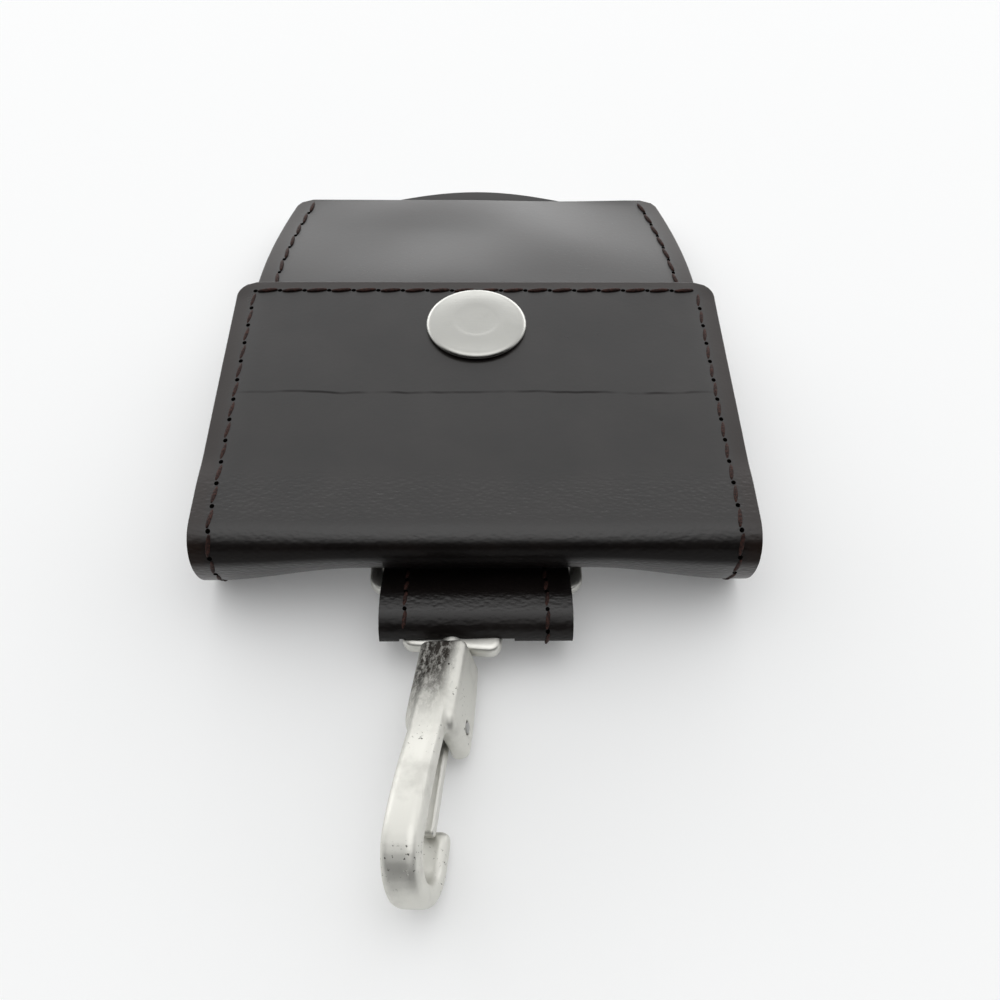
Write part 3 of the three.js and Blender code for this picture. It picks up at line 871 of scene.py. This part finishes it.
    def _sheet(
        self,
        name: str,
        nodes: list[str],
        material: bpy.types.Material,
        stretch: tuple[float, float],
        inner: bool = False,
    ) -> bpy.types.Object:
        """Builds a stretch of the outer sheet or of its lining.

        Args:
            name: the piece's name.
            nodes: the CAD nodes that it stands for.
            material: the leather.
            stretch: where the piece starts and ends along the sheet.
            inner: whether it is the lining.

        Returns:
            The piece, which still has to ride on a body.
        """
        depth, inset = (self.lining_depth, self.lining_inset) if inner else (0.0, 0.0)

        def run(v: float) -> float:
            """Crowds rows towards both ends of the stretch."""
            t = (v + 1) / 2
            return lerp(*stretch, t - 0.07 * math.sin(2 * math.pi * t) / math.pi * 2)

        form = sheet_form(
            lambda u, v: self.outer(self.spread(u), run(v), depth, inset), 64, 90,
            {
                "bend": lambda u, v: self.bend(run(v)),
                "edge": lambda u, v: self.border(self.spread(u), run(v)),
                # Painted shade: the fold's front loses its shine so that it looks dark.
                "painted_shade": lambda u, v: self.painted_shade(run(v)),
            })
        piece = finish_piece(name, form, [material], nodes)
        if inner:
            thicken(piece, self.lining, self.lining_edge)
        else:
            thicken(piece, self.leather, self.leather_edge)
        return piece

    def _sew_flap(self, finishes: Finishes) -> None:
        """Sews the sides of the fold and the flap, and the flap's edge."""
        last = self.total - self.flap_seam_end
        reach = 1 - self.seam_inset / (self.width / 2)
        runs = [lerp(self.length - 2.0, last, i / 220) for i in range(221)]
        lines = [
            [(self.outer(across, run), -outward(self.outer, across, run)) for run in runs]
            for across in (-reach, reach)]
        up = Vector((0, 0, 1))
        lines.append([(self.outer(lerp(-reach, reach, i / 60), last), up) for i in range(61)])
        flap = Seam().piece("flap_stitches", lines, finishes)
        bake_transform(flap)

    def _sew_pocket(self, finishes: Finishes) -> None:
        """Sews the pocket's sides."""
        lines: list[Line] = []
        for sign in (-1, 1):
            line = []
            for step in range(121):
                t = lerp(0.02, 0.985, step / 120)
                y, _ = self.pocket_ridge(t)
                across = sign * (1 - self.pocket_seam / self.half_width(y))
                line.append((self.pocket(across, t), outward(self.pocket, across, t)))
            lines.append(line)
        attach(Seam().piece("pocket_stitches", lines, finishes), Body.POUCH.value)


@dataclass
class TabLoop:
    """The leather loop between the ring and the hook, tilted up towards the hook.

    The ring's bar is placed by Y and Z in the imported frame, in millimetres.
    """

    ring_bar: tuple[float, float] = (-24.04, 3.54)
    width: float = 25.0
    radius: float = 3.15
    leather: float = 1.65
    span: float = 6.0
    tilt: float = 25.0
    window: tuple[float, float] = (-10.0, 5.0)
    window_back: float = 2.4
    lip: float = 1.3
    lip_drop: float = 1.2
    seam_inset: float = 3.3

    @property
    def girth(self) -> float:
        """Length of leather round the loop."""
        return 2 * self.span + 2 * math.pi * self.radius

    def front_radius(self, angle: float) -> float:
        """Radius of the loop's front, which bulges where its lip lies over the eye's foot.

        Args:
            angle: turn from the loop's top towards its front, in radians.

        Returns:
            The radius in millimetres.
        """
        turn = math.degrees(angle)
        return self.radius + self.lip * smoothstep(turn, 25.0, 95.0) * (1 - smoothstep(turn, 112.0, 150.0))

    def section(self, run: float) -> tuple[float, float]:
        """A place on the loop's section.

        Args:
            run: distance from the window's back edge, round the ring and over the top to the front.

        Returns:
            Distance towards the back and height, in the loop's own tilted frame.
        """
        r, half_turn = self.radius, math.pi * self.radius
        if run < self.window_back:
            return run - self.window_back, -r
        run -= self.window_back
        if run < half_turn:
            return r * math.sin(run / r), -r * math.cos(run / r)
        run -= half_turn
        if run < self.span:
            return -run, r
        run -= self.span
        if run < half_turn:
            front = self.front_radius(run / r)
            return -self.span - front * math.sin(run / r), front * math.cos(run / r)
        return -self.span + (run - half_turn), -r

    def surface(self, x: float, run: float) -> Vector:
        """A place on the loop's outer face, in millimetres from the fold line."""
        back, up = self.section(run)
        tilt = math.radians(self.tilt)
        y = back * math.cos(tilt) + up * math.sin(tilt)
        z = -back * math.sin(tilt) + up * math.cos(tilt)
        return Vector((x, self.ring_bar[0] - FOLD_LINE + y, self.ring_bar[1] + z))

    def build(self, finishes: Finishes) -> None:
        """Builds the loop with its window, and its two seams."""

        def run(v: float) -> float:
            """Distance round the loop."""
            return (v + 1) / 2 * self.girth

        form = sheet_form(
            lambda u, v: self.surface(u * self.width / 2, run(v)), 50, 72,
            # Painted shade: the loop's front loses its shine so that it looks dark.
            {"bend": lambda u, v: self.bend(run(v)), "painted_shade": lambda u, v: self.painted_shade(run(v))})
        bmesh.ops.remove_doubles(form, verts=form.verts[:], dist=MERGE_WITHIN)
        bmesh.ops.reverse_faces(form, faces=form.faces[:])
        cut = [face for face in form.faces if self.in_window(face.calc_center_median() / MM)]
        bmesh.ops.delete(form, geom=cut, context="FACES")
        loop = finish_piece("tab_leather", form, [finishes.tab], ["tab_loop"])
        thicken(loop, self.leather, 0.35)
        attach(loop, Body.TAB.value)
        self.sew(finishes)

    def in_window(self, spot: Vector) -> bool:
        """Whether a place on the loop, in the frame's millimetres, lies in its window."""
        low, high = self.window
        tilt = math.radians(self.tilt)
        y, z = spot.y - self.ring_bar[0], spot.z - self.ring_bar[1]
        back, up = y * math.cos(tilt) - z * math.sin(tilt), y * math.sin(tilt) + z * math.cos(tilt)
        return low < spot.x < high and up < -self.lip_drop and back < -self.window_back

    def bend(self, run: float) -> float:
        """How strongly the leather is folded at a distance round the loop."""
        top = self.window_back + math.pi * self.radius
        return 0.25 + 0.6 * smoothstep(run, top + self.span - 2.0, top + self.span + 1.0)

    def painted_shade(self, run: float) -> float:
        """Painted shade on the loop's front: how much of its shine is taken at a distance round the loop.
        """
        front = self.window_back + math.pi * self.radius + self.span
        return 0.6 * smoothstep(math.degrees((run - front) / self.radius), 45.0, 75.0)

    def sew(self, finishes: Finishes) -> None:
        """Sews the loop's two seams, from the top over the front."""
        start = self.window_back + math.pi * self.radius
        front = start + self.span + math.pi * self.radius / 2
        lines: list[Line] = []
        for sign in (-1, 1):
            x = sign * (self.width / 2 - self.seam_inset)
            stop = front + (0.0 if self.window[0] < x < self.window[1] else 0.5 * math.pi * self.radius)
            runs = [lerp(start, stop, i / 80) for i in range(81)]
            lines.append([(self.surface(x, run), outward(self.surface, x, run)) for run in runs])
        seam = Seam(pitch=3.1, stitch=2.6, thread=0.6, hole=0.32)
        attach(seam.piece("tab_stitches", lines, finishes), Body.TAB.value)


@dataclass
class RingKeeper:
    """The leather strip under the back that holds the ring."""

    width: float = 21.0
    half_length: float = 8.5
    setback: float = 7.0
    leather: float = 1.1
    low: float = 1.25
    high: float = 4.01

    def surface(self, u: float, v: float) -> Vector:
        """A place on the strip's upper face, which dips into a tunnel for the ring's bar."""
        tunnel = 1 - smoothstep(abs(v), 0.3, 0.75)
        y = self.setback + v * self.half_length
        return Vector((u * self.width / 2, y, lerp(self.high, self.low, tunnel)))

    def build(self, finishes: Finishes) -> None:
        """Builds the strip and its two cross seams."""
        form = sheet_form(self.surface, 24, 48)
        keeper = finish_piece("keeper_leather", form, [finishes.tab], ["ring_keeper"])
        thicken(keeper, self.leather, 0.3)
        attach(keeper, Body.POUCH.value)
        down = Vector((0, 0, -1))
        lines: list[Line] = []
        for v in (-0.86, 0.86):
            spots = [self.surface(lerp(-0.85, 0.85, i / 30), v) for i in range(31)]
            lines.append([(spot + down * self.leather, down) for spot in spots])
        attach(Seam().piece("keeper_stitches", lines, finishes), Body.POUCH.value)


@dataclass
class SnapFastener:
    """The press stud: cap and socket on the flap, stud and rivet on the pocket."""

    top: float = 16.0
    cap_radius: float = 7.5
    turns: int = 96

    def turned(self, profile: Sequence[tuple[float, float]], height: float) -> bmesh.types.BMesh:
        """Turns a profile about the snap's axis.

        Args:
            profile: (radius, height) pairs, in millimetres.
            height: where the profile's zero lies.

        Returns:
            The turned form.
        """
        form = bmesh.new()
        verts = [form.verts.new(to_frame(Vector((r, SNAP_AT, height + z)))) for r, z in profile]
        edges = [form.edges.new(pair) for pair in zip(verts, verts[1:])]
        bmesh.ops.spin(
            form, geom=verts + edges, cent=to_frame(Vector((0, SNAP_AT, 0))), axis=(0, 0, 1),
            angle=math.tau, steps=self.turns, use_merge=True, use_duplicate=False)
        bmesh.ops.remove_doubles(form, verts=form.verts[:], dist=MERGE_WITHIN)
        bmesh.ops.recalc_face_normals(form, faces=form.faces[:])
        return form

    def build(self, finishes: Finishes) -> None:
        """Builds the four pieces of the snap."""
        r = self.cap_radius
        cap = [
            (0.0, -3.4), (1.8, -3.4), (1.8, 0.1), (r - 0.45, 0.1), (r - 0.15, 0.18), (r, 0.42),
            (r - 0.06, 0.66), (r - 0.25, 0.85), (r - 0.55, 0.95), (r - 0.8, 0.97), (r - 1.1, 1.02),
            (r * 0.66, 1.2), (r * 0.5, 1.26), (r * 0.46, 1.255), (r * 0.42, 1.22), (r * 0.38, 1.2),
            (r * 0.25, 1.2), (0.0, 1.2),
        ]
        socket = [
            (2.1, 0.0), (2.1, -0.6), (2.8, -0.6), (2.8, -1.75), (2.95, -1.9), (3.75, -1.9), (4.1, -1.7),
            (4.4, -0.95), (5.2, -0.75), (5.5, -0.6), (5.5, -0.1), (5.4, 0.0), (2.1, 0.0),
        ]
        stud = [
            (0.0, -2.6), (1.8, -2.6), (1.8, 0.0), (5.3, 0.0), (5.5, 0.15), (5.4, 0.4), (4.4, 0.7),
            (2.2, 0.72), (1.8, 0.9), (1.8, 1.2), (2.15, 1.45), (2.15, 1.6), (1.8, 1.7), (0.0, 1.72),
        ]
        rivet = [(2.1, 0.0), (2.1, -0.7), (5.2, -0.5), (5.5, -0.3), (5.5, 0.0), (2.1, 0.0)]
        for name, profile, height, body, material in (
            ("snap_cap", cap, self.top, Body.FLAP, finishes.cap),
            ("snap_socket", socket, self.top - 3.0, Body.FLAP, finishes.nickel),
            ("snap_stud", stud, SNAP_SEAT + 0.3, Body.POUCH, finishes.nickel),
            ("stud_rivet", rivet, SNAP_SEAT - 1.9, Body.POUCH, finishes.nickel),
        ):
            form = self.turned(profile, height)
            piece = finish_piece("turned_" + name, form, [material], [name])
            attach(piece, body.value)


@dataclass(frozen=True)
class ForgedPiece:
    """A metal piece made from a copy of its CAD solid, with its edges worn round.

    The solid is cut into voxels of a size in millimetres and smoothed for a number of rounds.
    """

    node: str
    body: Body
    slot: Slot
    voxel: float
    rounds: int

    def build(self, nodes: dict[str, bpy.types.Object], material: bpy.types.Material) -> None:
        """Builds the piece and puts it on its body.

        Args:
            nodes: the frame's CAD objects.
            material: the finish.
        """
        form = bmesh.new()
        form.from_mesh(nodes[self.node].data)
        bmesh.ops.remove_doubles(form, verts=form.verts[:], dist=WELD_WITHIN)
        piece = finish_piece("forged_" + self.node, form, [], [self.node])
        grain = piece.modifiers.new("grain", "REMESH")
        grain.mode = "VOXEL"
        grain.voxel_size = self.voxel * MM
        grain.use_smooth_shade = True
        worn = piece.modifiers.new("worn", "SMOOTH")
        worn.factor = 0.5
        worn.iterations = self.rounds
        mesh = bpy.data.meshes.new_from_object(piece.evaluated_get(bpy.context.evaluated_depsgraph_get()))
        piece.modifiers.clear()
        piece.data = mesh
        mesh.materials.clear()
        mesh.materials.append(material)
        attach(piece, self.body.value)
        LOG.info("%s: worn to %d points", piece.name, len(mesh.vertices))


@dataclass(frozen=True)
class HookChain:
    """The ring, the swivel eye and the snap hook with its gate."""

    pieces: tuple[ForgedPiece, ...] = (
        ForgedPiece("strap_ring", Body.RING, Slot.NICKEL, 0.16, 6),
        ForgedPiece("swivel_eye", Body.EYE, Slot.NICKEL, 0.14, 10),
        ForgedPiece("swivel_pin", Body.HOOK, Slot.NICKEL, 0.12, 3),
        ForgedPiece("hook_body", Body.HOOK, Slot.NICKEL, 0.17, 14),
        ForgedPiece("gate", Body.GATE, Slot.NICKEL, 0.12, 6),
        ForgedPiece("gate_pin", Body.HOOK, Slot.STEEL, 0.1, 2),
        ForgedPiece("gate_spring", Body.HOOK, Slot.STEEL, 0.08, 2),
    )

    def build(self, nodes: dict[str, bpy.types.Object], finishes: Finishes) -> None:
        """Builds every metal piece of the chain."""
        special = {"hook_body": finishes.hook, "gate_pin": finishes.steel, "gate_spring": finishes.steel}
        for piece in self.pieces:
            piece.build(nodes, special.get(piece.node, finishes.nickel))


@dataclass
class Studio:
    """The pale floor, the soft light and the camera."""

    place: tuple[float, float, float] = (0.00073, -0.10772, 0.12656)
    pitch: float = 51.1
    yaw: float = -1.55
    roll: float = 1.1
    lens: float = 39.03
    sensor: float = 36.0
    floor_size: float = 3.0
    floor_colour: Colour = (0.82, 0.825, 0.825)
    floor_glow: Colour = (0.95, 0.955, 0.96)
    even_light: float = 0.9
    low_back_light: float = 2.2
    top_light: float = 0.85
    low_front_shade: float = 0.9
    backdrop: float = 0.95

    def build(self) -> None:
        """Sets up the camera, the floor and the light."""
        self._camera()
        self._floor()
        self._world()
        bpy.context.scene.view_settings.view_transform = "Standard"

    def _camera(self) -> None:
        """Adds the camera at the photograph's viewing angle."""
        data = bpy.data.cameras.new("camera")
        data.lens = self.lens
        data.sensor_width = self.sensor
        data.clip_start = 0.005
        camera = bpy.data.objects.new("camera", data)
        camera.matrix_world = (
            Matrix.Translation(self.place)
            @ Matrix.Rotation(math.radians(self.yaw), 4, "Z")
            @ Matrix.Rotation(math.radians(90 - self.pitch), 4, "X")
            @ Matrix.Rotation(math.radians(self.roll), 4, "Z")
        )
        bpy.context.scene.collection.objects.link(camera)
        bpy.context.scene.camera = camera

    def _floor(self) -> None:
        """Adds the plain pale floor."""
        material, graph = new_material("pale_floor")
        graph.principled({
            "Base Color": self.floor_colour, "Roughness": 0.6, "Specular IOR Level": 0.2,
            "Emission Color": self.floor_glow, "Emission Strength": 0.14,
        })
        form = bmesh.new()
        bmesh.ops.create_grid(form, x_segments=1, y_segments=1, size=self.floor_size)
        mesh = bpy.data.meshes.new("floor")
        form.to_mesh(mesh)
        form.free()
        mesh.materials.append(material)
        floor = bpy.data.objects.new("floor", mesh)
        bpy.context.scene.collection.objects.link(floor)

    def _world(self) -> None:
        """Lights the scene evenly, brighter low behind the pouch and darker low before it."""
        world = bpy.data.worlds.new("studio")
        bpy.context.scene.world = world
        world.use_nodes = True
        graph = Graph(world.node_tree)
        _, y, z = graph.split(graph.coordinates("Generated"))
        front = (0 - y).between(-0.05, 0.45) * z.between(0.85, 0.5)
        behind = y.between(0.3, 0.75) * z.between(0.46, 0.3)
        above = z.between(0.8, 1.0)
        level = self.even_light + behind * self.low_back_light + above * self.top_light
        level = level - front * self.low_front_shade
        camera = Term(graph, graph.add("ShaderNodeLightPath").outputs["Is Camera Ray"])
        strength = level * (1 - camera) + camera * self.backdrop
        shader = graph.add("ShaderNodeBackground", None, {"Color": (1.0, 1.0, 1.0), "Strength": strength})
        graph.add("ShaderNodeOutputWorld", None, {"Surface": shader.outputs[0]})


def main() -> None:
    """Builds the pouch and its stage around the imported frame."""
    logging.basicConfig(level=logging.INFO, format="%(name)s: %(message)s")
    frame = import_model()
    Studio().build()
    finishes = Finishes.make()
    PouchLeather().build(finishes)
    RingKeeper().build(finishes)
    TabLoop().build(finishes)
    SnapFastener().build(finishes)
    HookChain().build(frame["nodes"], finishes)


if __name__ == "__main__":
    main()
